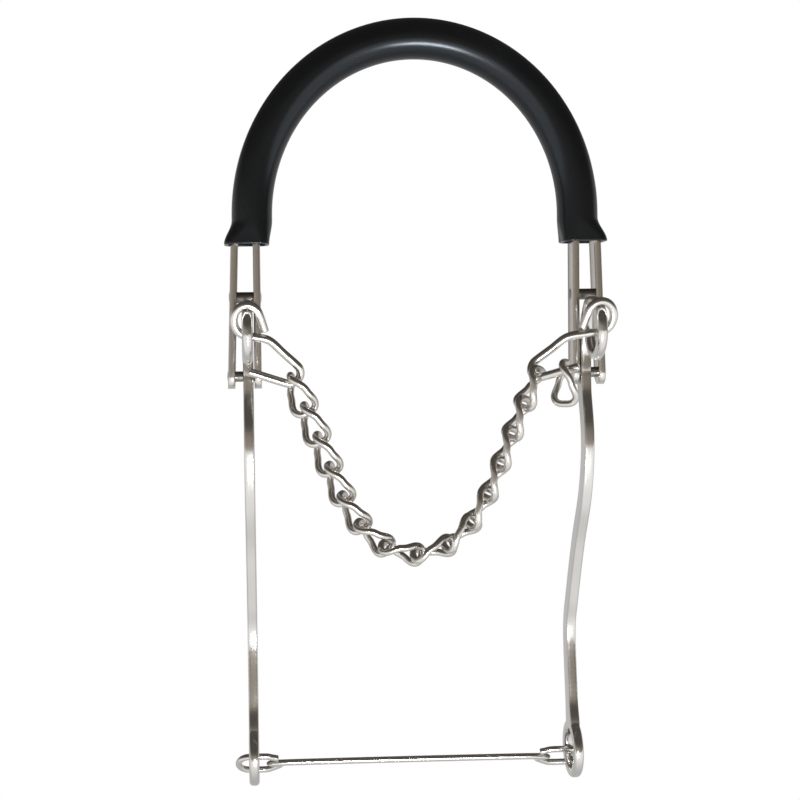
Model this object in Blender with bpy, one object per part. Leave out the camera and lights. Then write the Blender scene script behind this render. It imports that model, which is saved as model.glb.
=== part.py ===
# A hackamore: a rubber-covered steel noseband, two forged levers on pivot pins,
# a spreader between the rein rings, and a curb chain on two wire hooks.
# Z is up, X runs across the nose, and Y points towards the horse.
# The origin is under the crown of the noseband.

from math import asinh, atan2, copysign, cos, cosh, hypot, pi, radians, sin, sinh

import bmesh
import bpy
from mathutils import Vector

MM = 0.001

# Clearances
FIT = 0.3 * MM
CHAIN_PLAY = 0.8 * MM

# Noseband
ARCH_HALF_WIDTH = 73.6 * MM
ARCH_HEIGHT = 78.8 * MM
TUBE_DIAMETER = 18.2 * MM
TUBE_WALL = 1.9 * MM
TUBE_LEG = 12.8 * MM
TUBE_END_WIDTH = 20.2 * MM
TUBE_END_DEPTH = 16.8 * MM
TUBE_END_SHIFT = 2.5 * MM
TUBE_CORNER = 4.4 * MM
TUBE_FLARE = 11.0 * MM

# Flat bands
BAND_THICKNESS = 3.3 * MM
BAND_DEPTH = 11.0 * MM
BAND_EDGE = 0.9 * MM
FORK_TOP_GAP = 6.6 * MM
FORK_GAP = 8.5 * MM
FORK_LENGTH = 71.7 * MM
SPLAY_LENGTH = 14.0 * MM
RIVET_DIAMETER = 5.0 * MM
RIVET_ABOVE_PIVOT = 35.4 * MM
PIVOT_DIAMETER = 4.7 * MM

# Levers
SHANK_SIDE_GAP = 0.4 * MM
BAR_WIDTH = 4.7 * MM
BAR_DEPTH = 8.4 * MM
BAR_BOSS_DEPTH = 10.4 * MM
BAR_EDGE = 1.5 * MM
BAR_FOOT_SPREAD = 2.6 * MM
BAR_FOOT_LENGTH = 12.0 * MM
LEVER_DROP = 180.0 * MM
LEVER_SET_BACK = 26.0 * MM
KNEE_DROP = 34.0 * MM
KNEE_FORWARD = 6.6 * MM
KNEE_BEND = 15.0 * MM
HEEL_DROP = 124.0 * MM
HEEL_SET_BACK = 32.5 * MM
HEEL_BEND = 17.0 * MM
CROOK_FORWARD = 23.5 * MM
CROOK_RISE = 19.0 * MM
CROOK_LEAN = 2.6 * MM
CROOK_LIFT = 6.1 * MM
CROOK_START = radians(38.0)
CROOK_END = radians(352.0)
HEAD_TAPER_START = 14.0 * MM
HEAD_TAPER_LENGTH = 22.0 * MM
RING_HOLE = 17.8 * MM
RING_STRAND = 4.8 * MM

# Spreader
SPREADER_WIRE = 3.2 * MM
SPREADER_LENGTH = 167.8 * MM
SPREADER_SHIFT = -1.5 * MM
EYE_LENGTH = 22.5 * MM
EYE_LEG_SPACING = 10.6 * MM
EYE_BEND = 6.0 * MM
EYE_SEAT_ANGLE = radians(20.0)
EYE_TILT = radians(50.0)

# Curb hooks
HOOK_WIRE = 3.6 * MM
HOOK_SEAT_ANGLE = radians(42.0)
HOOK_TILT = radians(20.0)
HOOK_EYE_WIDTH = 11.4 * MM
HOOK_EYE_HEIGHT = 13.8 * MM
HOOK_TAIL = 7.6 * MM
HOOK_NECK_DROP = 2.4 * MM
LEFT_NECK = 9.5 * MM
RIGHT_NECK = 14.0 * MM
HOOK_LEG = 16.4 * MM
HOOK_RETURN = 17.0 * MM
HOOK_TURN_RADIUS = 4.9 * MM
HOOK_SWEEP = radians(155.0)
LEFT_DROOP = radians(44.0)
RIGHT_DROOP = radians(39.0)
RIGHT_TWIST = radians(61.0)

# Curb chain
LINK_COUNT = 14
LINK_WIRE = 3.1 * MM
LINK_LENGTH = 21.1 * MM
LINK_WIDTH = 14.8 * MM
LINK_TWIST = radians(-90.0)
LINK_FULLNESS = 0.65
LEFT_LEAN = 0.35
RIGHT_LEAN = 0.455
PINCH_RISE = 1.3
SPARE_LINK_PLACE = 10.5 * MM
CHAIN_PINCH = 3.2 * MM

# Fineness of the curved forms
LEVER_SPACING = 6.5 * MM
CROOK_SPACING = 4.2 * MM
SPREADER_SPACING = 4.0 * MM
HOOK_SPACING = 3.2 * MM
LINK_STEPS = 16
PIN_SIDES = 20
WIRE_FINENESS = 2
CHAIN_STEPS = 240


# Places worked out from the sizes
BAND_HALF = BAND_THICKNESS / 2
RING_MEAN = (RING_HOLE + RING_STRAND) / 2
ARCH_CENTRE_Z = TUBE_DIAMETER / 2 - ARCH_HEIGHT
TUBE_END_Z = ARCH_CENTRE_Z - TUBE_LEG
INNER_BAND_X = ARCH_HALF_WIDTH - FIT / 2 - BAND_HALF
INNER_FACE_X = INNER_BAND_X + BAND_HALF
SHANK_X = INNER_FACE_X + SHANK_SIDE_GAP + BAR_WIDTH / 2
PIVOT_Z = ARCH_CENTRE_Z - FORK_LENGTH
RIVET_Z = PIVOT_Z + RIVET_ABOVE_PIVOT
FORK_FACE_X = INNER_FACE_X + FORK_GAP
CROOK_CENTRE = Vector((0, -CROOK_FORWARD, PIVOT_Z + CROOK_RISE))
REIN_CENTRE = Vector((0, LEVER_SET_BACK, PIVOT_Z - LEVER_DROP))


def clear_scene():
    for obj in list(bpy.data.objects):
        bpy.data.objects.remove(obj, do_unlink=True)


def metal(name, colour, roughness, metallic=1.0):
    material = bpy.data.materials.new(name)
    material.use_nodes = True
    shader = material.node_tree.nodes["Principled BSDF"]
    shader.inputs["Base Color"].default_value = (*colour, 1.0)
    shader.inputs["Roughness"].default_value = roughness
    shader.inputs["Metallic"].default_value = metallic
    return material


# Shape helpers

def rounded_section(width, depth, corner, steps):
    """Points of a rounded rectangle, counter-clockwise, as (across, deep) pairs."""
    corner = min(corner, width / 2, depth / 2)
    points = []
    for quarter in range(4):
        middle = pi / 4 + quarter * pi / 2
        centre_a = copysign(width / 2 - corner, cos(middle))
        centre_b = copysign(depth / 2 - corner, sin(middle))
        for step in range(steps):
            angle = quarter * pi / 2 + (pi / 2) * step / (steps - 1)
            points.append((centre_a + corner * cos(angle), centre_b + corner * sin(angle)))
    return points


def ring_of(centre, across, deep, section):
    return [centre + across * a + deep * b for a, b in section]


def loft(name, rings, origin, material, closed=False):
    """A solid through like rings of points; a closed one joins its last ring to its first."""
    bm = bmesh.new()
    rows = [[bm.verts.new(point - origin) for point in ring] for ring in rings]
    spans = len(rows) if closed else len(rows) - 1
    for row in range(spans):
        this_row = rows[row]
        next_row = rows[(row + 1) % len(rows)]
        for i in range(len(this_row)):
            j = (i + 1) % len(this_row)
            bm.faces.new((this_row[i], this_row[j], next_row[j], next_row[i]))
    if not closed:
        bm.faces.new(list(reversed(rows[0])))
        bm.faces.new(rows[-1])
    bmesh.ops.recalc_face_normals(bm, faces=bm.faces)
    mesh = bpy.data.meshes.new(name)
    bm.to_mesh(mesh)
    bm.free()
    mesh.shade_smooth()
    mesh.set_sharp_from_angle(angle=radians(40.0))
    obj = bpy.data.objects.new(name, mesh)
    obj.location = origin
    bpy.context.collection.objects.link(obj)
    mesh.materials.append(material)
    return obj


def smooth_path(points, spacing):
    """A Catmull-Rom curve through the points, read at about even spacing."""
    ends = [points[0] * 2 - points[1]] + points + [points[-1] * 2 - points[-2]]
    path = []
    for i in range(1, len(ends) - 2):
        a, b, c, d = ends[i - 1:i + 3]
        steps = max(1, round((c - b).length / spacing))
        for step in range(steps):
            t = step / steps
            path.append(0.5 * (2 * b + (c - a) * t + (2 * a - 5 * b + 4 * c - d) * t ** 2
                               + (3 * b - a - 3 * c + d) * t ** 3))
    path.append(points[-1].copy())
    return path


def arc(centre, first, second, radius, start, end, steps):
    """Points on an arc from the first axis towards the second, both ends included."""
    turns = [start + (end - start) * i / steps for i in range(steps + 1)]
    return [centre + first * (radius * cos(t)) + second * (radius * sin(t)) for t in turns]


def wire(name, points, diameter, origin, material, closed=False):
    """A round wire along the points."""
    curve = bpy.data.curves.new(name, "CURVE")
    curve.dimensions = "3D"
    curve.bevel_depth = diameter / 2
    curve.bevel_resolution = WIRE_FINENESS
    curve.use_fill_caps = True
    spline = curve.splines.new("POLY")
    spline.points.add(len(points) - 1)
    for slot, point in zip(spline.points, points):
        slot.co = (*(point - origin), 1.0)
    spline.use_cyclic_u = closed
    spline.use_smooth = True
    obj = bpy.data.objects.new(name, curve)
    obj.location = origin
    bpy.context.collection.objects.link(obj)
    curve.materials.append(material)
    return obj


def pin(name, centre, diameter, length, material, cutter=False):
    """A round pin along X, or the cutter for its hole."""
    half = length / 2
    rings = []
    for offset in (-half, half):
        section = [(diameter / 2 * cos(2 * pi * i / PIN_SIDES), diameter / 2 * sin(2 * pi * i / PIN_SIDES))
                   for i in range(PIN_SIDES)]
        rings.append(ring_of(centre + Vector((offset, 0, 0)), Vector((0, 1, 0)),
                             Vector((0, 0, 1)), section))
    obj = loft(name, rings, centre, material)
    if cutter:
        obj.hide_render = True
        obj.display_type = "WIRE"
    return obj


def combine(obj, other, operation):
    modifier = obj.modifiers.new(other.name, "BOOLEAN")
    modifier.operation = operation
    modifier.object = other


# The noseband: two bands bent over the nose, and the rubber tube drawn over them

def arch_frame(angle, offset):
    """Point and outward direction on the arch, angle 0 at the right leg, 180 at the left."""
    outward = Vector((cos(angle) / ARCH_HALF_WIDTH, 0, sin(angle) / ARCH_HEIGHT)).normalized()
    point = Vector((ARCH_HALF_WIDTH * cos(angle), 0, ARCH_CENTRE_Z + ARCH_HEIGHT * sin(angle)))
    return point + outward * offset, outward


def ease(value):
    value = min(max(value, 0.0), 1.0)
    return value * value * (3 - 2 * value)


def leg_stations(spread):
    """Stations down the right leg of a band, as centre, outward direction and half depth."""
    end_radius = BAND_DEPTH / 2
    heights = [ARCH_CENTRE_Z - SPLAY_LENGTH * i / 6 for i in range(1, 7)]
    heights += [RIVET_Z, PIVOT_Z]
    stations = [(Vector((spread(z), 0, z)), end_radius) for z in heights]
    for degrees in (20, 38, 54, 68, 80, 86):
        angle = radians(degrees)
        z = PIVOT_Z - end_radius * sin(angle)
        stations.append((Vector((spread(z), 0, z)), end_radius * cos(angle)))
    return stations


def band(name, offset, spread, material):
    across_leg = Vector((1, 0, 0))
    deep = Vector((0, 1, 0))
    rings = []
    right_leg = leg_stations(spread)
    for centre, half_depth in reversed(right_leg):
        section = rounded_section(BAND_THICKNESS, 2 * half_depth, min(BAND_EDGE, half_depth), 3)
        rings.append(ring_of(centre, across_leg, deep, section))
    steps = 30
    for i in range(steps + 1):
        centre, outward = arch_frame(pi * i / steps, offset)
        section = rounded_section(BAND_THICKNESS, BAND_DEPTH, BAND_EDGE, 3)
        rings.append(ring_of(centre, outward, deep, section))
    for centre, half_depth in right_leg:
        mirrored = Vector((-centre.x, centre.y, centre.z))
        section = rounded_section(BAND_THICKNESS, 2 * half_depth, min(BAND_EDGE, half_depth), 3)
        rings.append(ring_of(mirrored, -across_leg, deep, section))
    return loft(name, rings, Vector((0, 0, 0)), material)


def outer_spread(z):
    """Distance of the outer band's middle from the centre plane at a height."""
    together = ARCH_HALF_WIDTH + FIT / 2 + BAND_HALF
    splay_end = ARCH_CENTRE_Z - SPLAY_LENGTH
    fork_top = INNER_FACE_X + FORK_TOP_GAP + BAND_HALF
    fork_foot = FORK_FACE_X + BAND_HALF
    if z > splay_end:
        return together + (fork_top - together) * ease((ARCH_CENTRE_Z - z) / SPLAY_LENGTH)
    share = (splay_end - z) / (splay_end - PIVOT_Z)
    return fork_top + (fork_foot - fork_top) * share


def tube(material):
    """The rubber tube: round over the nose, drawn wide where the outer band leaves it."""
    deep = Vector((0, 1, 0))
    right_leg = []
    for i in range(5):
        flare = ease(1 - i / 4)
        centre = Vector((ARCH_HALF_WIDTH + TUBE_END_SHIFT * flare, 0, TUBE_END_Z + TUBE_FLARE * i / 4))
        right_leg.append((centre, Vector((1, 0, 0)), flare))
    left_leg = [(Vector((-c.x, 0, c.z)), -outward, flare) for c, outward, flare in right_leg]
    steps = 20
    over = [(*arch_frame(pi * i / steps, 0.0), 0.0) for i in range(steps + 1)]
    run = right_leg + over + list(reversed(left_leg))

    def rings_at(inset):
        rings = []
        for centre, outward, flare in run:
            width = TUBE_DIAMETER + (TUBE_END_WIDTH - TUBE_DIAMETER) * flare - 2 * inset
            depth = TUBE_DIAMETER + (TUBE_END_DEPTH - TUBE_DIAMETER) * flare - 2 * inset
            corner = TUBE_DIAMETER / 2 + (TUBE_CORNER - TUBE_DIAMETER / 2) * flare - inset
            rings.append(ring_of(centre, outward, deep, rounded_section(width, depth, corner, 6)))
        return rings

    rings = rings_at(0.0) + list(reversed(rings_at(TUBE_WALL)))
    return loft("noseband_rubber", rings, Vector((0, 0, 0)), material, closed=True)


def noseband(rubber, steel, dark_steel):
    tube(rubber)
    inner = band("inner_band", -FIT / 2 - BAND_HALF, lambda z: INNER_BAND_X, steel)
    outer = band("outer_band", FIT / 2 + BAND_HALF, outer_spread, steel)
    for side, word in ((1, "right"), (-1, "left")):
        for kind, z, diameter in (("rivet", RIVET_Z, RIVET_DIAMETER),
                                  ("pivot_pin", PIVOT_Z, PIVOT_DIAMETER)):
            inner_face = INNER_BAND_X - BAND_HALF
            outer_face = outer_spread(z) + BAND_HALF
            centre = Vector((side * (inner_face + outer_face) / 2, 0, z))
            length = outer_face - inner_face
            pin(f"{kind}_{word}", centre, diameter, length, dark_steel)
            hole = pin(f"{kind}_{word}_hole", centre, diameter + 2 * FIT, length + BAND_DEPTH,
                       dark_steel, cutter=True)
            combine(inner, hole, "DIFFERENCE")
            combine(outer, hole, "DIFFERENCE")


# The levers: bar, crook ring at the head and rein ring at the foot

def in_plane(y, z):
    return Vector((0, y, z))


def lever_path():
    """Centre of the bar from the rein ring up to the pivot, in the plane of the lever."""
    return [
        in_plane(LEVER_SET_BACK, -LEVER_DROP + RING_MEAN),
        in_plane((LEVER_SET_BACK + HEEL_SET_BACK) / 2, -(LEVER_DROP + HEEL_DROP) / 2),
        in_plane(HEEL_SET_BACK, -HEEL_DROP),
        in_plane(HEEL_SET_BACK * 0.82, -HEEL_DROP + HEEL_BEND),
        in_plane(HEEL_SET_BACK * 0.4, -(HEEL_DROP + KNEE_DROP) / 2),
        in_plane(0, -KNEE_DROP - 1.6 * KNEE_BEND),
        in_plane(-KNEE_FORWARD * 0.88, -KNEE_DROP - KNEE_BEND / 2),
        in_plane(-KNEE_FORWARD, -KNEE_DROP + KNEE_BEND / 2),
        in_plane(-KNEE_FORWARD / 3, -BAR_BOSS_DEPTH),
        in_plane(0, 0),
    ]


def crook_path():
    """Round the crook: from the pivot up behind the ring, over it and down its front."""
    centre = in_plane(-CROOK_FORWARD, CROOK_RISE)
    points = [in_plane(0, 0), in_plane(-CROOK_LEAN, CROOK_RISE * 0.75)]
    steps = 14
    for i in range(steps + 1):
        angle = CROOK_START + (CROOK_END - CROOK_START) * i / steps
        radius = RING_MEAN + CROOK_LIFT * max(0.0, 1 - i / 3) ** 1.8
        points.append(centre + in_plane(radius * cos(angle), radius * sin(angle)))
    return points


def depth_along(run, pivot_run):
    """Depth of the bar: spread at the foot and the pivot, and a round strand in the crook."""
    boss = ease(1 - abs(run - pivot_run) / BAR_BOSS_DEPTH)
    head = ease((run - pivot_run - HEAD_TAPER_START) / HEAD_TAPER_LENGTH)
    foot = 1 - ease(run / BAR_FOOT_LENGTH)
    depth = BAR_DEPTH + (BAR_BOSS_DEPTH - BAR_DEPTH) * boss + BAR_FOOT_SPREAD * foot
    return depth + (RING_STRAND - BAR_DEPTH) * head


def shank(name, side, material):
    origin = Vector((side * SHANK_X, 0, PIVOT_Z))
    lower = smooth_path(lever_path(), LEVER_SPACING)
    path = lower + smooth_path(crook_path(), CROOK_SPACING)[1:]
    runs = [0.0]
    for a, b in zip(path, path[1:]):
        runs.append(runs[-1] + (b - a).length)
    pivot_run = runs[len(lower) - 1]
    last = len(path) - 1
    rings = []
    for i, (point, run) in enumerate(zip(path, runs)):
        tangent = (path[min(i + 1, last)] - path[max(i - 1, 0)]).normalized()
        deep = Vector((0, tangent.z, -tangent.y))
        depth = depth_along(run, pivot_run)
        width = BAR_WIDTH + (RING_STRAND - BAR_WIDTH) * ease((run - pivot_run) / BAR_DEPTH)
        roundness = ease((BAR_DEPTH - depth) / (BAR_DEPTH - RING_STRAND))
        corner = BAR_EDGE + (RING_STRAND / 2 - BAR_EDGE) * roundness
        section = rounded_section(width, depth, corner, 3)
        rings.append(ring_of(origin + point, Vector((1, 0, 0)), deep, section))
    bar = loft(name, rings, origin, material)
    hole = pin(f"{name}_pivot_hole", origin, PIVOT_DIAMETER + 2 * FIT, 3 * BAR_WIDTH, material,
               cutter=True)
    combine(bar, hole, "DIFFERENCE")
    combine(bar, rein_ring(f"{name}_rein_ring", side, material), "UNION")


def rein_ring(name, side, material):
    centre = Vector((side * SHANK_X, 0, 0)) + REIN_CENTRE
    rings = []
    steps = 28
    for i in range(steps):
        angle = 2 * pi * i / steps
        outward = Vector((0, cos(angle), sin(angle)))
        section = rounded_section(RING_STRAND, RING_STRAND, RING_STRAND / 2, 3)
        rings.append(ring_of(centre + outward * RING_MEAN, outward, Vector((1, 0, 0)), section))
    ring = loft(name, rings, centre, material, closed=True)
    ring.hide_render = True
    ring.display_type = "WIRE"
    return ring


# The spreader: an eye round the lower rear of each rein ring

def spreader(material):
    seat_radius = RING_HOLE / 2 - FIT - SPREADER_WIRE / 2
    inner_leg = in_plane(seat_radius * cos(EYE_SEAT_ANGLE), -seat_radius * sin(EYE_SEAT_ANGLE))
    outwards = in_plane(cos(EYE_TILT), -sin(EYE_TILT))
    half_gap = EYE_LEG_SPACING / 2
    middle = REIN_CENTRE + inner_leg + outwards * half_gap
    reach = (SPREADER_LENGTH - SPREADER_WIRE) / 2
    points = []
    for side in (-1, 1):
        along = Vector((side, 0, 0))
        tip = middle + Vector((SPREADER_SHIFT, 0, 0)) + along * reach
        turn = tip - along * half_gap
        foot = tip - along * (EYE_LENGTH - SPREADER_WIRE)
        loop = [
            foot - outwards * (SPREADER_WIRE + FIT) + along * EYE_BEND * 0.07,
            foot - outwards * (half_gap * 0.83) + along * EYE_BEND * 0.53,
            foot - outwards * half_gap + along * EYE_BEND,
        ]
        loop += arc(turn, along, outwards, half_gap, -pi / 2, pi / 2, 8)
        loop += [
            foot + outwards * half_gap + along * EYE_BEND,
            foot + outwards * (half_gap * 0.7) + along * EYE_BEND * 0.4,
            foot + outwards * (half_gap * 0.3) - along * EYE_BEND * 0.2,
            foot - along * EYE_BEND * 0.83,
        ]
        if side == 1:
            loop.reverse()
        points += loop
    return wire("spreader", smooth_path(points, SPREADER_SPACING), SPREADER_WIRE, REIN_CENTRE, material)


# The curb hooks: an open eye on the crook ring and a long loop for the chain

def hook_frame(side, droop, twist):
    """Seat of the eye, and the directions that the hook is bent in."""
    inward = Vector((-side, 0, 0))
    seat_radius = RING_MEAN + RING_STRAND / 2 + FIT + HOOK_WIRE / 2
    seat = Vector((side * SHANK_X, 0, 0)) + CROOK_CENTRE
    seat += in_plane(-sin(HOOK_SEAT_ANGLE), cos(HOOK_SEAT_ANGLE)) * seat_radius
    down = in_plane(sin(HOOK_TILT), -cos(HOOK_TILT))
    leg = (inward * cos(droop) + down * sin(droop)).normalized()
    back = (-inward * sin(droop) + down * cos(droop)).normalized()
    normal = leg.cross(back) * side
    if normal.y > 0:
        normal = -normal
    back = (back * cos(twist) + normal * sin(twist)).normalized()
    return seat, inward, down, leg, back


def hook_turn(side, neck_reach, droop, twist):
    """The neck, where the leg starts, and the centre of the turn that holds the chain."""
    seat, inward, down, leg, back = hook_frame(side, droop, twist)
    neck = seat + inward * neck_reach + down * (HOOK_EYE_HEIGHT + HOOK_NECK_DROP)
    return neck, neck + leg * HOOK_LEG + back * HOOK_TURN_RADIUS


def hook_return(side, neck_reach, droop, twist):
    """Start and direction of the straight wire after the turn."""
    leg, back = hook_frame(side, droop, twist)[3:]
    turn = hook_turn(side, neck_reach, droop, twist)[1]
    start = turn + (leg * sin(HOOK_SWEEP) - back * cos(HOOK_SWEEP)) * HOOK_TURN_RADIUS
    return start, back * sin(HOOK_SWEEP) + leg * cos(HOOK_SWEEP)


def hook(name, side, neck_reach, droop, twist, material):
    seat, inward, down, leg, back = hook_frame(side, droop, twist)
    neck, turn = hook_turn(side, neck_reach, droop, twist)
    half_width = HOOK_EYE_WIDTH / 2
    half_height = HOOK_EYE_HEIGHT / 2
    centre = seat + down * half_height
    points = [seat + inward * HOOK_TAIL + down * (HOOK_EYE_HEIGHT - HOOK_WIRE / 2)]
    for degrees in (20, 45, 70, 95, 120, 150, 180, 210, 240, 265):
        angle = radians(degrees)
        points.append(centre + inward * (half_width * cos(angle)) - down * (half_height * sin(angle)))
    points.append(seat + inward * (neck_reach * 0.45) + down * (HOOK_EYE_HEIGHT + HOOK_NECK_DROP * 0.37))
    points += [neck + leg * HOOK_LEG * share for share in (0.0, 0.5)]
    points += arc(turn, -back, leg, HOOK_TURN_RADIUS, 0.0, HOOK_SWEEP, 6)
    start, run = hook_return(side, neck_reach, droop, twist)
    points += [start + run * HOOK_RETURN * share for share in (0.5, 1.0)]
    origin = Vector((side * SHANK_X, 0, 0)) + CROOK_CENTRE
    return wire(name, smooth_path(points, HOOK_SPACING), HOOK_WIRE, origin, material)


# The curb chain: twisted links hung from hook to hook

def full_round(value):
    """Fills out the corners of an oval."""
    return copysign(abs(value) ** LINK_FULLNESS, value)


def link_points(centre, along, side_dir, roll):
    """Centre line of a link: an oval whose two ends are turned against each other."""
    third = along.cross(side_dir)
    half_length = (LINK_LENGTH - LINK_WIRE) / 2
    half_width = (LINK_WIDTH - LINK_WIRE) / 2
    points = []
    for i in range(LINK_STEPS):
        angle = 2 * pi * (i + 0.5) / LINK_STEPS
        u = half_length * full_round(cos(angle))
        v = half_width * full_round(sin(angle))
        turn = roll + LINK_TWIST / 2 * sin(pi / 2 * cos(angle))
        points.append(centre + along * u + side_dir * (v * cos(turn)) + third * (v * sin(turn)))
    return points


def chain_seat(side, neck_reach, droop, twist, pull):
    """Where the chain bears on the wire of a hook's U turn, and the wire's direction there."""
    leg, back = hook_frame(side, droop, twist)[3:]
    turn = hook_turn(side, neck_reach, droop, twist)[1]
    a = pull.dot(leg)
    b = pull.dot(back)
    size = hypot(a, b)
    return turn + (leg * a + back * b) * (HOOK_TURN_RADIUS / size), (back * a - leg * b) / size


def roll_for(wire_direction, along, side_dir, end_turn):
    """Roll of a link that sets its end square to the wire that the end hangs on."""
    square = along.cross(wire_direction)
    roll = atan2(square.dot(along.cross(side_dir)), square.dot(side_dir)) - end_turn
    while roll > radians(45.0):
        roll -= pi
    while roll < radians(-135.0):
        roll += pi
    return roll


def hanging_curve(left, right, steepness):
    """A hung chain's curve between two seats, drawn in at mid height by its stiff end links."""
    flat = Vector((right.x - left.x, right.y - left.y, 0))
    scale = flat.length / (2 * steepness)
    lean = asinh((right.z - left.z) / (2 * scale * sinh(steepness)))
    points = []
    for i in range(CHAIN_STEPS + 1):
        share = 2 * i / CHAIN_STEPS - 1
        turn = steepness * share + lean
        height = (cosh(turn) - 1) / (cosh(steepness + abs(lean)) - 1)
        pinch = CHAIN_PINCH * sin(pi * height ** PINCH_RISE) * copysign(1, turn)
        x = flat.length * (share + 1) / 2 - pinch
        z = scale * (cosh(turn) - cosh(lean - steepness))
        points.append(left + flat.normalized() * x + Vector((0, 0, z)))
    return points


def length_of(points):
    return sum((b - a).length for a, b in zip(points, points[1:]))


def hang(left, right, length):
    """The curve between two seats that has the chain's length."""
    low = 0.1
    high = 6.0
    for _ in range(50):
        steepness = (low + high) / 2
        if length_of(hanging_curve(left, right, steepness)) < length:
            low = steepness
        else:
            high = steepness
    return hanging_curve(left, right, steepness)


def place_along(points, distance):
    """Point at a distance along a curve, and the curve's direction there."""
    for a, b in zip(points, points[1:]):
        step = (b - a).length
        if distance <= step:
            break
        distance -= step
    return a.lerp(b, distance / step), (b - a).normalized()


def chain(material):
    left, left_wire = chain_seat(-1, LEFT_NECK, LEFT_DROOP, 0.0, Vector((LEFT_LEAN, 0, -1)))
    right, right_wire = chain_seat(1, RIGHT_NECK, RIGHT_DROOP, RIGHT_TWIST, Vector((-RIGHT_LEAN, 0, -1)))
    pitch = LINK_LENGTH - 2 * LINK_WIRE - CHAIN_PLAY
    lead = LINK_LENGTH / 2 - LINK_WIRE - HOOK_WIRE / 2 - FIT
    curve = hang(left, right, (LINK_COUNT - 1) * pitch + 2 * lead)
    sideways = (right - left).cross(Vector((0, 0, 1))).normalized()
    places = []
    for i in range(LINK_COUNT):
        centre, along = place_along(curve, lead + i * pitch)
        places.append((centre, along, along.cross(sideways).normalized()))
    half_twist = LINK_TWIST / 2
    first = roll_for(left_wire, places[0][1], places[0][2], -half_twist)
    last = roll_for(right_wire, places[-1][1], places[-1][2], half_twist)
    for i, (centre, along, in_chain) in enumerate(places):
        roll = first + (last - first) * i / (LINK_COUNT - 1)
        wire(f"chain_link_{i + 1:02d}", link_points(centre, along, in_chain, roll), LINK_WIRE,
             left, material, closed=True)


def spare_link(material):
    start, run = hook_return(1, RIGHT_NECK, RIGHT_DROOP, RIGHT_TWIST)
    hang_point = start + run * SPARE_LINK_PLACE
    along = Vector((0, 0, -1))
    drop = LINK_LENGTH / 2 - LINK_WIRE - HOOK_WIRE / 2 - FIT
    side_dir = Vector((1, 0, 0))
    roll = roll_for(run, along, side_dir, -LINK_TWIST / 2)
    wire("spare_link", link_points(hang_point + along * drop, along, side_dir, roll), LINK_WIRE,
         hang_point, material, closed=True)


def build():
    clear_scene()
    rubber = metal("black_rubber", (0.012, 0.012, 0.013), 0.42, metallic=0.0)
    steel = metal("polished_steel", (0.62, 0.59, 0.55), 0.16)
    dark_steel = metal("pin_steel", (0.32, 0.31, 0.30), 0.3)
    noseband(rubber, steel, dark_steel)
    shank("shank_left", -1, steel)
    shank("shank_right", 1, steel)
    spreader(steel)
    hook("hook_left", -1, LEFT_NECK, LEFT_DROOP, 0.0, steel)
    hook("hook_right", 1, RIGHT_NECK, RIGHT_DROOP, RIGHT_TWIST, steel)
    chain(steel)
    spare_link(steel)


build()
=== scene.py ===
from math import asinh, atan2, copysign, cos, cosh, hypot, pi, radians, sin, sinh

import bmesh
import bpy
from mathutils import Matrix, Vector


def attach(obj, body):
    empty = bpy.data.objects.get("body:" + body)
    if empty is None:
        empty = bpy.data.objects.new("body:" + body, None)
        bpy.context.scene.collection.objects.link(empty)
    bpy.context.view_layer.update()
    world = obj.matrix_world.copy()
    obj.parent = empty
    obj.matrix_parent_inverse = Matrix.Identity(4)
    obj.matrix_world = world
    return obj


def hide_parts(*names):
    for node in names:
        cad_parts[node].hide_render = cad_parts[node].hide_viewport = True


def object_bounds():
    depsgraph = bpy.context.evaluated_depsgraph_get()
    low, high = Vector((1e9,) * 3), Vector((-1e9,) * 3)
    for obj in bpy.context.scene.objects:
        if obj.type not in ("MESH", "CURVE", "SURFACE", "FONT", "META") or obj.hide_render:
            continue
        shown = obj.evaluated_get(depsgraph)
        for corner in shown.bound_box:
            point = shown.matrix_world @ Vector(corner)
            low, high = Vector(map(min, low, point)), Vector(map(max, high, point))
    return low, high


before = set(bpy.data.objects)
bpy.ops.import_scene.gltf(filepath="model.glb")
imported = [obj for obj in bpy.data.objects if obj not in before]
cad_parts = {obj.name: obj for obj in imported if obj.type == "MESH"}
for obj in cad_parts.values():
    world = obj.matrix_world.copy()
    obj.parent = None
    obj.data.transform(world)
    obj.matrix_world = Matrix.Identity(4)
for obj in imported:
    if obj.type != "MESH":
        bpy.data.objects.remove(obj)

cad_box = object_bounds()

# The camera: about 0.62 m in front of the noseband, to its left and near the height of the
# pivots. It is turned a little to the right, tilted a little down and rolled under a degree.
camera_data = bpy.data.cameras.new("camera")
camera_data.lens = 62.35
camera_data.sensor_width = 36.0
camera_data.shift_x = 0.10
camera_data.shift_y = 0.0145
camera_data.clip_start = 0.01
camera = bpy.data.objects.new("camera", camera_data)
camera.location = (-0.0722, -0.6246, -0.1341)
camera.rotation_euler = (radians(87.84), radians(0.73), radians(-2.6))
bpy.context.scene.collection.objects.link(camera)
bpy.context.scene.camera = camera
bpy.context.scene.view_settings.view_transform = "Standard"


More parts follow.
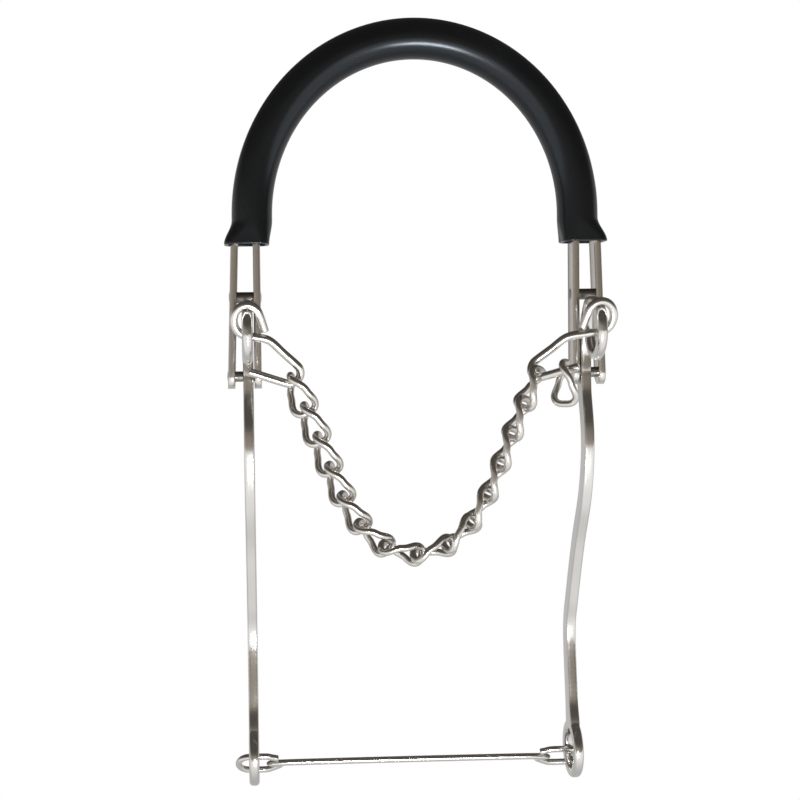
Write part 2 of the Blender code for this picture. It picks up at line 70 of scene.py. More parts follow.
class Tap:
    """A shader socket that takes part in sums, and adds any other node beside it."""

    def __init__(self, tree, socket=None):
        self.tree = tree
        self.socket = socket

    def node(self, kind, settings=None, inputs=None, output=0):
        made = self.tree.nodes.new("ShaderNode" + kind)
        for key, value in (settings or {}).items():
            if key == "stops":
                ramp = made.color_ramp
                while len(ramp.elements) < len(value):
                    ramp.elements.new(0.5)
                for element, (place, colour) in zip(ramp.elements, value):
                    element.position = place
                    element.color = (*colour, 1.0)
            else:
                setattr(made, key, value)
        for key, value in (inputs or {}).items():
            self.join(made.inputs[key], value)
        return Tap(self.tree, made.outputs[output])

    def join(self, slot, value):
        if isinstance(value, Tap):
            self.tree.links.new(value.socket, slot)
        else:
            slot.default_value = value

    def sum_of(self, operation, first, second):
        return self.node("Math", {"operation": operation}, {0: first, 1: second})

    def __add__(self, other):
        return self.sum_of("ADD", self, other)

    def __rsub__(self, other):
        return self.sum_of("SUBTRACT", other, self)

    def __mul__(self, other):
        return self.sum_of("MULTIPLY", self, other)


# The studio, which the steel mirrors: dull brown about the camera and darker to its right, dark
# overhead and straight behind the object, pale to both sides of that, and white below. The
# camera itself sees plain white.
WHITE = (1.0, 1.0, 1.0)
STUDIO_LEFT = (0.37, 0.34, 0.31)
STUDIO_FRONT = (0.27, 0.235, 0.195)
STUDIO_RIGHT = (0.16, 0.14, 0.115)
STUDIO_BACK = (0.16, 0.15, 0.14)
STUDIO_SIDES = (0.55, 0.54, 0.525)
STUDIO_BELOW = (1.0, 1.0, 0.99)
STUDIO_ABOVE = (0.085, 0.078, 0.070)

world = bpy.data.worlds.new("studio")
world.use_nodes = True
bpy.context.scene.world = world
sky = Tap(world.node_tree)
direction = sky.node("TexCoord", output=0)
split = {"Vector": direction}
to_side = sky.node("SeparateXYZ", inputs=split, output=0)
to_back = sky.node("SeparateXYZ", inputs=split, output=1)
upward = sky.node("SeparateXYZ", inputs=split, output=2)
level = sky.node("ValToRGB", {"stops": [(0.0, STUDIO_LEFT), (0.5, STUDIO_FRONT), (1.0, STUDIO_RIGHT)]},
                 {0: to_side * 0.5 + 0.5})
smooth = {"interpolation_type": "SMOOTHSTEP"}
behind = sky.node("MapRange", smooth, {0: to_back, 1: 0.0, 2: 0.3})
beside = sky.node("MapRange", smooth, {0: to_side * to_side, 1: 0.01, 2: 0.05})
below = sky.node("MapRange", smooth, {0: upward, 1: -0.12, 2: -0.42})
above = sky.node("MapRange", smooth, {0: upward, 1: 0.10, 2: 0.45})
studio = level
for share, colour in ((behind, STUDIO_BACK), (behind * beside, STUDIO_SIDES), (above, STUDIO_ABOVE),
                      (below, STUDIO_BELOW)):
    studio = sky.node("Mix", {"data_type": "RGBA"}, {0: share, 6: studio, 7: (*colour, 1.0)}, output=2)
seen = sky.node("LightPath", output=0)
backdrop = sky.node("Mix", {"data_type": "RGBA"}, {0: seen, 6: studio, 7: (*WHITE, 1.0)}, output=2)
sky.join(world.node_tree.nodes["Background"].inputs["Color"], backdrop)

# The floor: a matt white sheet well below the hanging hackamore. It takes a faint shadow near
# the object, runs into the white backdrop further off, and is mirrored dimmer to the back.
FLOOR_DROP = 0.12
FLOOR_NEAR = 0.46
FLOOR_FAR = 0.58
FLOOR_NEAR_GLOW = 0.8
FLOOR_DIM = 0.4
FLOOR_DIM_START = -0.15
FLOOR_DIM_END = 0.05
FLOOR_HALF_SIZE = 4.0
floor_bm = bmesh.new()
bmesh.ops.create_grid(floor_bm, x_segments=1, y_segments=1, size=FLOOR_HALF_SIZE)
bmesh.ops.translate(floor_bm, verts=floor_bm.verts,
                    vec=(0, FLOOR_HALF_SIZE / 2, cad_box[0][2] - FLOOR_DROP))
floor_mesh = bpy.data.meshes.new("floor")
floor_bm.to_mesh(floor_mesh)
floor_bm.free()
floor = bpy.data.objects.new("floor", floor_mesh)
bpy.context.scene.collection.objects.link(floor)
floor_paint = bpy.data.materials.new("white_floor")
floor_paint.use_nodes = True
floor_tap = Tap(floor_paint.node_tree)
floor_place = floor_tap.node("TexCoord", output=3)
floor_back = floor_tap.node("SeparateXYZ", inputs={"Vector": floor_place}, output=1)
in_metal = floor_tap.node("LightPath", output=3)
floor_seen = floor_tap.node("LightPath", output=0) + in_metal
floor_reach = floor_tap.node("VectorMath", {"operation": "LENGTH"}, {0: floor_place}, output=1)
far_off = floor_tap.node("MapRange", inputs={0: floor_reach, 1: FLOOR_NEAR, 2: FLOOR_FAR,
                                             3: FLOOR_NEAR_GLOW, 4: 1.0})
dimmed = floor_tap.node("MapRange", smooth, {0: floor_back, 1: FLOOR_DIM_START, 2: FLOOR_DIM_END,
                                             4: FLOOR_DIM})
floor_glow = floor_tap.node("Emission", inputs={"Color": (*WHITE, 1.0),
                                                "Strength": 1.0 - in_metal * dimmed})
floor_matt = floor_tap.node("BsdfDiffuse", inputs={"Color": (0.86, 0.86, 0.86, 1.0)})
floor_mix = floor_tap.node("MixShader", inputs={0: floor_seen * far_off, 1: floor_matt, 2: floor_glow})
floor_tap.join(floor_paint.node_tree.nodes["Material Output"].inputs["Surface"], floor_mix)
floor_mesh.materials.append(floor_paint)


# The lamps: three soft boxes. Only the one below the camera is mirrored in the pieces, where
# it makes the sheen on the crown of the rubber.
def soft_lamp(name, place, aim, size, power, mirrored=False):
    data = bpy.data.lights.new(name, "AREA")
    data.size = size
    data.energy = power
    lamp = bpy.data.objects.new(name, data)
    lamp.location = place
    lamp.visible_glossy = mirrored
    lamp.rotation_euler = (Vector(aim) - Vector(place)).to_track_quat("-Z", "Y").to_euler()
    bpy.context.scene.collection.objects.link(lamp)


soft_lamp("key_lamp", (0.35, -0.45, 0.55), (0, 0, -0.12), 0.35, 3.0)
soft_lamp("fill_lamp", (-0.6, -0.3, 0.1), (0, 0, -0.15), 0.5, 1.6)
soft_lamp("front_lamp", (0.03, -0.50, -0.45), (0, 0, 0), 0.18, 4.0, mirrored=True)


# The rubber tube: a black moulded sleeve, slid over both bands before they were bent.
# It is round over the nose and stretched wide where the outer band leaves it.
MM = 0.001
FIT = 0.3 * MM
ARCH_HALF_WIDTH = 73.6 * MM
ARCH_HEIGHT = 78.8 * MM
TUBE_DIAMETER = 18.2 * MM
TUBE_WALL = 1.9 * MM
TUBE_LEG = 12.8 * MM
TUBE_END_WIDTH = 20.2 * MM
TUBE_END_DEPTH = 16.8 * MM
TUBE_END_SHIFT = 2.5 * MM
TUBE_CORNER = 4.4 * MM
TUBE_FLARE = 11.0 * MM
TUBE_LIP = 0.5 * MM
TUBE_LEG_STEPS = 14
TUBE_CORNER_STEPS = 10
ARCH_CENTRE_Z = TUBE_DIAMETER / 2 - ARCH_HEIGHT
TUBE_END_Z = ARCH_CENTRE_Z - TUBE_LEG
ARCH_STEPS = 96
MERGE_DISTANCE = 0.00001
SMOOTH_BELOW = radians(38.0)
CUT_EDGE_ABOVE = radians(60.0)
EDGE_STEPS = 3


def ease(value):
    value = min(max(value, 0.0), 1.0)
    return value * value * (3 - 2 * value)


def rounded_section(width, depth, corner, steps):
    """Points of a rounded rectangle as (across, deep) pairs."""
    corner = min(corner, width / 2, depth / 2)
    points = []
    for quarter in range(4):
        middle = pi / 4 + quarter * pi / 2
        centre_a = copysign(width / 2 - corner, cos(middle))
        centre_b = copysign(depth / 2 - corner, sin(middle))
        for step in range(steps):
            angle = (quarter + step / (steps - 1)) * pi / 2
            points.append((centre_a + corner * cos(angle), centre_b + corner * sin(angle)))
    return points


def ring_of(centre, across, deep, section):
    return [centre + across * a + deep * b for a, b in section]


def mesh_object(name, bm, body, finish, replaced):
    """Closes a mesh, gives it its finish and fixes it to its body."""
    bmesh.ops.remove_doubles(bm, verts=bm.verts, dist=MERGE_DISTANCE)
    bmesh.ops.recalc_face_normals(bm, faces=bm.faces)
    mesh = bpy.data.meshes.new(name)
    bm.to_mesh(mesh)
    bm.free()
    mesh.shade_smooth()
    mesh.set_sharp_from_angle(angle=SMOOTH_BELOW)
    piece = bpy.data.objects.new(name, mesh)
    bpy.context.scene.collection.objects.link(piece)
    mesh.materials.append(finish)
    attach(piece, body)
    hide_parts(*replaced)
    return piece


def extruded(rings):
    """A bar extruded from the first ring of points through all the others."""
    bm = bmesh.new()
    bmesh.ops.create_circle(bm, segments=len(rings[0]), radius=1.0, cap_ends=True)
    end = bm.faces[:][0]
    passed = []
    for ring in rings:
        if ring is not rings[0]:
            grown = bmesh.ops.extrude_face_region(bm, geom=[end])["geom"]
            passed.append(end)
            end = next(item for item in grown if isinstance(item, bmesh.types.BMFace))
        for vert, point in zip(end.verts, ring):
            vert.co = point
    bmesh.ops.delete(bm, geom=passed[1:], context="FACES_ONLY")
    return bm


def arch_frame(angle, offset=0.0):
    """Point and outward direction on the arch; angle 0 is the right leg, 180 the left."""
    outward = Vector((cos(angle) / ARCH_HALF_WIDTH, 0, sin(angle) / ARCH_HEIGHT)).normalized()
    point = Vector((ARCH_HALF_WIDTH * cos(angle), 0, ARCH_CENTRE_Z + ARCH_HEIGHT * sin(angle)))
    return point + outward * offset, outward


def black_rubber():
    """Moulded rubber: near black, satin, with a fine grain and the bloom of handling."""
    finish = bpy.data.materials.new("black_rubber")
    finish.use_nodes = True
    shader = finish.node_tree.nodes["Principled BSDF"]
    tap = Tap(finish.node_tree)
    place = tap.node("TexCoord", output=3)
    bloom = tap.node("TexNoise", inputs={"Vector": place, "Scale": 38.0, "Detail": 4.0})
    grain = tap.node("TexNoise", inputs={"Vector": place, "Scale": 1900.0, "Detail": 3.0})
    scuffs = tap.node("TexNoise", inputs={"Vector": place, "Scale": 240.0, "Detail": 6.0,
                                          "Roughness": 0.7})
    colour = tap.node("Mix", {"data_type": "RGBA"},
                      {0: bloom, 6: (0.003, 0.0032, 0.0036, 1.0), 7: (0.007, 0.0074, 0.0082, 1.0)},
                      output=2)
    tap.join(shader.inputs["Base Color"], colour)
    tap.join(shader.inputs["Roughness"], bloom * 0.10 + scuffs * 0.06 + 0.15)
    relief = tap.node("Bump", inputs={"Height": grain * 0.3 + scuffs * 0.5, "Strength": 0.15,
                                      "Distance": 0.00006})
    tap.join(shader.inputs["Normal"], relief)
    shader.inputs["Specular IOR Level"].default_value = 0.5
    shader.inputs["Specular Tint"].default_value = (0.80, 0.90, 1.0, 1.0)
    return finish


def tube_rings(inset):
    """Sections of the tube from its right end to its left end, drawn in by inset."""
    heights = [i / TUBE_LEG_STEPS for i in range(TUBE_LEG_STEPS + 1)]
    right = []
    for share in heights:
        z = TUBE_END_Z + TUBE_LEG * share
        flare = ease((TUBE_END_Z + TUBE_FLARE - z) / TUBE_FLARE)
        right.append((Vector((ARCH_HALF_WIDTH + TUBE_END_SHIFT * flare, 0, z)), Vector((1, 0, 0)), flare))
    left = [(Vector((-c.x, 0, c.z)), -o, f) for c, o, f in reversed(right)]
    over = []
    for i in range(1, ARCH_STEPS):
        centre, outward = arch_frame(pi * i / ARCH_STEPS)
        over.append((centre, outward, 0.0))
    run = right + over + left
    rings = []
    for centre, outward, flare in run:
        width = TUBE_DIAMETER + (TUBE_END_WIDTH - TUBE_DIAMETER) * flare - 2 * inset
        depth = TUBE_DIAMETER + (TUBE_END_DEPTH - TUBE_DIAMETER) * flare - 2 * inset
        corner = TUBE_DIAMETER / 2 + (TUBE_CORNER - TUBE_DIAMETER / 2) * flare - inset
        section = rounded_section(width, depth, corner, TUBE_CORNER_STEPS)
        rings.append(ring_of(centre, outward, Vector((0, 1, 0)), section))
    return rings


rubber = black_rubber()
skin = tube_rings(0.0)
bore = tube_rings(TUBE_WALL)
outer_bm = extruded(skin)
inner_bm = extruded(list(reversed(bore)))
tube_bm = bmesh.new()
for part in (outer_bm, inner_bm):
    flat_ends = [f for f in part.faces if len(f.verts) > 4]
    bmesh.ops.delete(part, geom=flat_ends, context="FACES_ONLY")
    holder = bpy.data.meshes.new("tube_part")
    part.to_mesh(holder)
    part.free()
    tube_bm.from_mesh(holder)
for sign in (1, -1):
    rim = [e for e in tube_bm.edges if e.is_boundary and e.verts[0].co.x * sign > 0]
    bmesh.ops.bridge_loops(tube_bm, edges=rim)
bmesh.ops.recalc_face_normals(tube_bm, faces=tube_bm.faces)
rim_edges = [e for e in tube_bm.edges
             if e.calc_face_angle(0.0) > CUT_EDGE_ABOVE and e.verts[0].co.z < TUBE_END_Z + MM]
bmesh.ops.bevel(tube_bm, geom=rim_edges, offset=TUBE_LIP, affect="EDGES", segments=EDGE_STEPS,
                profile=0.5, material=-1)
mesh_object("rubber_tube", tube_bm, "noseband", rubber, ["noseband_rubber"])


# The two bands: flat steel with rolled edges, bent together over the nose and polished.
# The outer one splays below the rubber to leave room for the lever.
BAND_THICKNESS = 3.3 * MM
BAND_DEPTH = 11.0 * MM
BAND_EDGE = 1.2 * MM
BAND_HALF = BAND_THICKNESS / 2
FORK_TOP_GAP = 6.6 * MM
FORK_GAP = 8.5 * MM
FORK_LENGTH = 71.7 * MM
SPLAY_LENGTH = 14.0 * MM
INNER_BAND_X = ARCH_HALF_WIDTH - FIT / 2 - BAND_HALF
INNER_FACE_X = INNER_BAND_X + BAND_HALF
PIVOT_Z = ARCH_CENTRE_Z - FORK_LENGTH
BAND_STEPS = 48
BAND_LEG_STEPS = 40
BAND_TIP_TURN = radians(88.0)
BAND_TIP_STEPS = 14
BAND_CORNER_STEPS = 6


def polished_steel(name, tint, smooth, cloud, scratch):
    """Polished stainless steel: faint clouding, wiping marks and hairline scratches."""
    finish = bpy.data.materials.new(name)
    finish.use_nodes = True
    shader = finish.node_tree.nodes["Principled BSDF"]
    shader.inputs["Metallic"].default_value = 1.0
    tap = Tap(finish.node_tree)
    place = tap.node("TexCoord", output=3)
    clouds = tap.node("TexNoise", inputs={"Vector": place, "Scale": 55.0, "Detail": 3.0})
    drawn = tap.node("Mapping", inputs={"Vector": place, "Scale": (1.0, 1.0, 0.12)})
    hairs = tap.node("TexNoise", inputs={"Vector": drawn, "Scale": 2600.0, "Detail": 2.0})
    waves = tap.node("TexNoise", inputs={"Vector": place, "Scale": 130.0, "Detail": 1.0})
    darker = tuple(c * 0.80 for c in tint)
    colour = tap.node("Mix", {"data_type": "RGBA"},
                      {0: clouds, 6: (*tint, 1.0), 7: (*darker, 1.0)}, output=2)
    tap.join(shader.inputs["Base Color"], colour)
    tap.join(shader.inputs["Roughness"], clouds * cloud + hairs * 0.06 + smooth)
    relief = tap.node("Bump", inputs={"Height": waves * 0.4 + hairs * scratch, "Strength": 0.3,
                                      "Distance": 0.00006})
    tap.join(shader.inputs["Normal"], relief)
    return finish


def outer_spread(z):
    """Distance of the outer band's middle from the centre plane at a height."""
    together = ARCH_HALF_WIDTH + FIT / 2 + BAND_HALF
    splay_end = ARCH_CENTRE_Z - SPLAY_LENGTH
    fork_top = INNER_FACE_X + FORK_TOP_GAP + BAND_HALF
    fork_foot = INNER_FACE_X + FORK_GAP + BAND_HALF
    if z > splay_end:
        return together + (fork_top - together) * ease((ARCH_CENTRE_Z - z) / SPLAY_LENGTH)
    return fork_top + (fork_foot - fork_top) * (splay_end - z) / (splay_end - PIVOT_Z)


def inner_spread(z):
    """Distance of the inner band's middle from the centre plane, the same at every height."""
    return INNER_BAND_X


def band_section(half):
    return rounded_section(BAND_THICKNESS, 2 * half, min(BAND_EDGE, half), BAND_CORNER_STEPS)


def band_bm(offset, spread):
    """A bent band with half-round ends about the pivot."""
    deep = Vector((0, 1, 0))
    leg = []
    for i in range(1, BAND_LEG_STEPS + 1):
        z = ARCH_CENTRE_Z - FORK_LENGTH * i / BAND_LEG_STEPS
        leg.append((Vector((spread(z), 0, z)), BAND_DEPTH / 2))
    for i in range(1, BAND_TIP_STEPS + 1):
        angle = BAND_TIP_TURN * i / BAND_TIP_STEPS
        z = PIVOT_Z - BAND_DEPTH / 2 * sin(angle)
        leg.append((Vector((spread(z), 0, z)), BAND_DEPTH / 2 * cos(angle)))
    rings = []
    for centre, half in reversed(leg):
        rings.append(ring_of(centre, Vector((1, 0, 0)), deep, band_section(half)))
    for i in range(BAND_STEPS + 1):
        centre, outward = arch_frame(pi * i / BAND_STEPS, offset)
        rings.append(ring_of(centre, outward, deep, band_section(BAND_DEPTH / 2)))
    for centre, half in leg:
        mirrored = Vector((-centre.x, 0, centre.z))
        rings.append(ring_of(mirrored, Vector((-1, 0, 0)), deep, band_section(half)))
    return extruded(rings)


band_steel = polished_steel("band_steel", (0.82, 0.79, 0.75), 0.12, 0.10, 0.30)
mesh_object("inner_strip", band_bm(-FIT / 2 - BAND_HALF, inner_spread), "noseband",
            band_steel, ["inner_band"])
mesh_object("outer_strip", band_bm(FIT / 2 + BAND_HALF, outer_spread), "noseband",
            band_steel, ["outer_band"])

# The rivets and pivot pins: mild steel rod through both strips of each fork, with its
# ends peened to low domes and polished with the strips. Their steel colour is painted
# dark as painted shade, for the shadow that falls on them between the strips.
RIVET_DIAMETER = 5.0 * MM
PIVOT_DIAMETER = 4.7 * MM
RIVET_RISE = 35.4 * MM
RIVET_Z = PIVOT_Z + RIVET_RISE
PIN_DOME = 0.35 * MM
PIN_DOME_STEPS = 8
PIN_SIDES = 48
# The pins' colour is painted shade: steel darkened for the shadow between the two strips.
pin_steel = polished_steel("pin_steel", (0.36, 0.34, 0.32), 0.24, 0.14, 0.6)
for side, word in ((-1, "left"), (1, "right")):
    for kind, z, diameter in (("rivet", RIVET_Z, RIVET_DIAMETER), ("pivot_pin", PIVOT_Z, PIVOT_DIAMETER)):
        near = INNER_BAND_X - BAND_HALF
        far = outer_spread(z) + BAND_HALF
        radius = diameter / 2
        turns = [pi / 2 * i / PIN_DOME_STEPS for i in range(PIN_DOME_STEPS + 1)]
        dome = [(radius * sin(turn), PIN_DOME * cos(turn)) for turn in turns]
        profile = [(near - h, r) for r, h in dome] + [(far + h, r) for r, h in reversed(dome)]
        pin_bm = bmesh.new()
        line = [pin_bm.verts.new((side * x, 0, z + r)) for x, r in profile]
        edges = [pin_bm.edges.new(pair) for pair in zip(line, line[1:])]
        bmesh.ops.spin(pin_bm, geom=line + edges, cent=(0, 0, z), axis=(1, 0, 0), angle=2 * pi,
                       steps=PIN_SIDES, use_merge=True)
        mesh_object(f"{kind}_peened_{word}", pin_bm, "noseband", pin_steel, [f"{kind}_{word}"])


# The levers: each a forged bar, curled at the head into the crook ring that takes the
# cheekpiece and curb hook, with the rein ring welded at the foot, then ground and polished.
SHANK_SIDE_GAP = 0.4 * MM
BAR_WIDTH = 4.7 * MM
SHANK_X = INNER_FACE_X + SHANK_SIDE_GAP + BAR_WIDTH / 2
BAR_DEPTH = 8.4 * MM
BAR_BOSS_DEPTH = 10.4 * MM
LEVER_DROP = 180.0 * MM
LEVER_SET_BACK = 26.0 * MM
KNEE_DROP = 34.0 * MM
KNEE_FORWARD = 6.6 * MM
KNEE_BEND = 15.0 * MM
HEEL_DROP = 124.0 * MM
HEEL_SET_BACK = 32.5 * MM
HEEL_BEND = 17.0 * MM
CROOK_FORWARD = 23.5 * MM
CROOK_RISE = 19.0 * MM
CROOK_LEAN = 2.6 * MM
CROOK_LIFT = 6.1 * MM
CROOK_START = radians(38.0)
CROOK_END = radians(352.0)
HEAD_TAPER_START = 14.0 * MM
HEAD_TAPER_LENGTH = 22.0 * MM
BAR_FOOT_SPREAD = 2.6 * MM
BAR_FOOT_LENGTH = 12.0 * MM
RING_HOLE = 17.8 * MM
RING_STRAND = 4.8 * MM
RING_MEAN = (RING_HOLE + RING_STRAND) / 2
CROOK_CENTRE = Vector((0, -CROOK_FORWARD, PIVOT_Z + CROOK_RISE))
REIN_CENTRE = Vector((0, LEVER_SET_BACK, PIVOT_Z - LEVER_DROP))
RING_CORNER = 1.7 * MM
BAR_ROLLED_EDGE = 0.9 * MM
BAR_CORNER_STEPS = 7
CROOK_STEPS = 14
LEVER_SPACING = 1.5 * MM
CROOK_SPACING = 1.0 * MM
RING_STEPS = 96
WELD_VOXEL = 0.36 * MM
WELD_SOFTNESS = 0.5
WELD_PASSES = 8
DRILL_SIDES = 64


def in_plane(y, z):
    return Vector((0, y, z))


def smooth_path(points, spacing):
    """A smooth curve through the points, read at about even spacing."""
    ends = [points[0] * 2 - points[1]] + points + [points[-1] * 2 - points[-2]]
    path = []
    for i in range(1, len(ends) - 2):
        a, b, c, d = ends[i - 1:i + 3]
        steps = max(1, round((c - b).length / spacing))
        for step in range(steps):
            t = step / steps
            path.append(0.5 * (2 * b + (c - a) * t + (2 * a - 5 * b + 4 * c - d) * t ** 2
                               + (3 * b - a - 3 * c + d) * t ** 3))
    path.append(points[-1].copy())
    return path


lever_points = [
    in_plane(LEVER_SET_BACK, -LEVER_DROP + RING_MEAN),
    in_plane((LEVER_SET_BACK + HEEL_SET_BACK) / 2, -(LEVER_DROP + HEEL_DROP) / 2),
    in_plane(HEEL_SET_BACK, -HEEL_DROP),
    in_plane(HEEL_SET_BACK * 0.82, -HEEL_DROP + HEEL_BEND),
    in_plane(HEEL_SET_BACK * 0.4, -(HEEL_DROP + KNEE_DROP) / 2),
    in_plane(0, -KNEE_DROP - 1.6 * KNEE_BEND),
    in_plane(-KNEE_FORWARD * 0.88, -KNEE_DROP - KNEE_BEND / 2),
    in_plane(-KNEE_FORWARD, -KNEE_DROP + KNEE_BEND / 2),
    in_plane(-KNEE_FORWARD / 3, -BAR_BOSS_DEPTH),
    in_plane(0, 0),
]
crook_points = [in_plane(0, 0), in_plane(-CROOK_LEAN, CROOK_RISE * 0.75)]
for i in range(CROOK_STEPS + 1):
    angle = CROOK_START + (CROOK_END - CROOK_START) * i / CROOK_STEPS
    radius = RING_MEAN + CROOK_LIFT * max(0.0, 1 - i / 3) ** 1.8
    crook_points.append(in_plane(radius * cos(angle) - CROOK_FORWARD, radius * sin(angle) + CROOK_RISE))
lever_path = smooth_path(lever_points, LEVER_SPACING)
bar_path = lever_path + smooth_path(crook_points, CROOK_SPACING)[1:]
bar_run = [0.0]
for a, b in zip(bar_path, bar_path[1:]):
    bar_run.append(bar_run[-1] + (b - a).length)
pivot_run = bar_run[len(lever_path) - 1]


def bar_depth(run):
    """Depth of the bar: spread at the foot and the pivot, and a round strand in the crook."""
    boss = ease(1 - abs(run - pivot_run) / BAR_BOSS_DEPTH)
    head = ease((run - pivot_run - HEAD_TAPER_START) / HEAD_TAPER_LENGTH)
    foot = 1 - ease(run / BAR_FOOT_LENGTH)
    depth = BAR_DEPTH + (BAR_BOSS_DEPTH - BAR_DEPTH) * boss + BAR_FOOT_SPREAD * foot
    return depth + (RING_STRAND - BAR_DEPTH) * head


def rein_ring_mesh(centre):
    """A ring with a flattened strand, spun round its centre."""
    bm = bmesh.new()
    ring = [Vector((a, 0, b)) + centre + Vector((0, 0, RING_MEAN))
            for a, b in rounded_section(RING_STRAND, RING_STRAND, RING_CORNER, BAR_CORNER_STEPS)]
    bmesh.ops.create_circle(bm, segments=len(ring), radius=1.0)
    for vert, point in zip(bm.verts, ring):
        vert.co = point
    bmesh.ops.spin(bm, geom=bm.verts[:] + bm.edges[:], cent=centre, axis=(1, 0, 0), angle=2 * pi,
                   steps=RING_STEPS, use_merge=True)
    mesh = bpy.data.meshes.new("rein_ring")
    bm.to_mesh(mesh)
    bm.free()
    return mesh


def lever_bm(origin):
    """The bar along its bent path, with the rein ring set on its foot."""
    rings = []
    last = len(bar_path) - 1
    for i, (point, run) in enumerate(zip(bar_path, bar_run)):
        tangent = (bar_path[min(i + 1, last)] - bar_path[max(i - 1, 0)]).normalized()
        deep = Vector((0, tangent.z, -tangent.y))
        depth = bar_depth(run)
        width = BAR_WIDTH + (RING_STRAND - BAR_WIDTH) * ease((run - pivot_run) / BAR_DEPTH)
        roundness = ease((BAR_DEPTH - depth) / (BAR_DEPTH - RING_STRAND))
        corner = BAR_ROLLED_EDGE + (RING_STRAND / 2 - BAR_ROLLED_EDGE) * roundness
        section = rounded_section(width, depth, corner, BAR_CORNER_STEPS)
        rings.append(ring_of(origin + point, Vector((1, 0, 0)), deep, section))
    bm = extruded(rings)
    bm.from_mesh(rein_ring_mesh(Vector((origin.x, 0, 0)) + REIN_CENTRE))
    return bm


def pivot_drill(origin):
    """A drill set across the bar at the pivot."""
    bm = bmesh.new()
    radius = PIVOT_DIAMETER / 2 + FIT
    bmesh.ops.create_cone(bm, cap_ends=True, segments=DRILL_SIDES, radius1=radius, radius2=radius,
                          depth=3 * BAR_WIDTH)
    bmesh.ops.rotate(bm, verts=bm.verts, matrix=Matrix.Rotation(pi / 2, 3, "Y"))
    bmesh.ops.translate(bm, verts=bm.verts, vec=origin)
    mesh = bpy.data.meshes.new("drill")
    bm.to_mesh(mesh)
    bm.free()
    drill = bpy.data.objects.new("drill", mesh)
    bpy.context.scene.collection.objects.link(drill)
    return drill


def weld_and_drill(lever, drill, finish):
    """Welds bar and ring into one skin, softens the weld and drills the pivot hole."""
    weld = lever.modifiers.new("weld", "REMESH")
    weld.mode = "VOXEL"
    weld.voxel_size = WELD_VOXEL
    weld.use_smooth_shade = True
    soften = lever.modifiers.new("soften", "SMOOTH")
    soften.factor = WELD_SOFTNESS
    soften.iterations = WELD_PASSES
    bore = lever.modifiers.new("bore", "BOOLEAN")
    bore.operation = "DIFFERENCE"
    bore.solver = "MANIFOLD"
    bore.object = drill
    bpy.context.view_layer.update()
    shown = lever.evaluated_get(bpy.context.evaluated_depsgraph_get())
    drilled = bpy.data.meshes.new_from_object(shown)
    drilled.materials.clear()
    drilled.materials.append(finish)
    lever.modifiers.clear()
    lever.data = drilled
    bpy.data.objects.remove(drill)


shank_steel = polished_steel("lever_steel", (0.84, 0.82, 0.79), 0.10, 0.10, 0.25)
for side, word in ((-1, "left"), (1, "right")):
    pivot = Vector((side * SHANK_X, 0, PIVOT_Z))
    lever = mesh_object(f"lever_{word}", lever_bm(pivot), f"shank_{word}", shank_steel,
                        [f"shank_{word}"])
    weld_and_drill(lever, pivot_drill(pivot), shank_steel)


# The spreader: one length of hard wire, with an eye bent round each rein ring.
# It keeps the levers apart, and each eye slides round the lower rear of its ring.
# WIRE_POLISH comes off the radius, so that round wire stays inside the box of the CAD's.
SPREADER_WIRE = 3.2 * MM
SPREADER_LENGTH = 167.8 * MM
SPREADER_SHIFT = -1.5 * MM
EYE_LENGTH = 22.5 * MM
EYE_LEG_SPACING = 10.6 * MM
EYE_BEND = 6.0 * MM
EYE_SEAT_ANGLE = radians(20.0)
EYE_TILT = radians(50.0)
EYE_STEPS = 8
SPREADER_SPACING = 0.9 * MM
WIRE_BEVEL_STEPS = 7
WIRE_POLISH = 0.09 * MM
CUT_END_SHARE = 0.12


def arc(centre, first, second, radius, start, end, steps):
    """Points on an arc from the first axis towards the second, both ends included."""
    turns = [start + (end - start) * i / steps for i in range(steps + 1)]
    return [centre + first * (radius * cos(t)) + second * (radius * sin(t)) for t in turns]


def wire_piece(name, points, diameter, body, finish, replaced, closed=False, polish=0.0):
    """Round wire along the points, with its cut ends softened."""
    curve = bpy.data.curves.new(name, "CURVE")
    curve.dimensions = "3D"
    curve.bevel_depth = diameter / 2 - polish
    curve.bevel_resolution = WIRE_BEVEL_STEPS
    curve.use_fill_caps = True
    spline = curve.splines.new("POLY")
    spline.points.add(len(points) - 1)
    for slot_point, point in zip(spline.points, points):
        slot_point.co = (*point, 1.0)
    spline.use_cyclic_u = closed
    guide = bpy.data.objects.new(name + "_guide", curve)
    bpy.context.scene.collection.objects.link(guide)
    bpy.context.view_layer.update()
    mesh = bpy.data.meshes.new_from_object(guide.evaluated_get(bpy.context.evaluated_depsgraph_get()))
    bpy.data.objects.remove(guide)
    bm = bmesh.new()
    bm.from_mesh(mesh)
    bmesh.ops.remove_doubles(bm, verts=bm.verts, dist=MERGE_DISTANCE)
    if not closed:
        cuts = [e for e in bm.edges if e.calc_face_angle(0.0) > CUT_EDGE_ABOVE]
        bmesh.ops.bevel(bm, geom=cuts, offset=diameter * CUT_END_SHARE, affect="EDGES",
                        segments=EDGE_STEPS, profile=0.5, material=-1)
    return mesh_object(name, bm, body, finish, replaced)


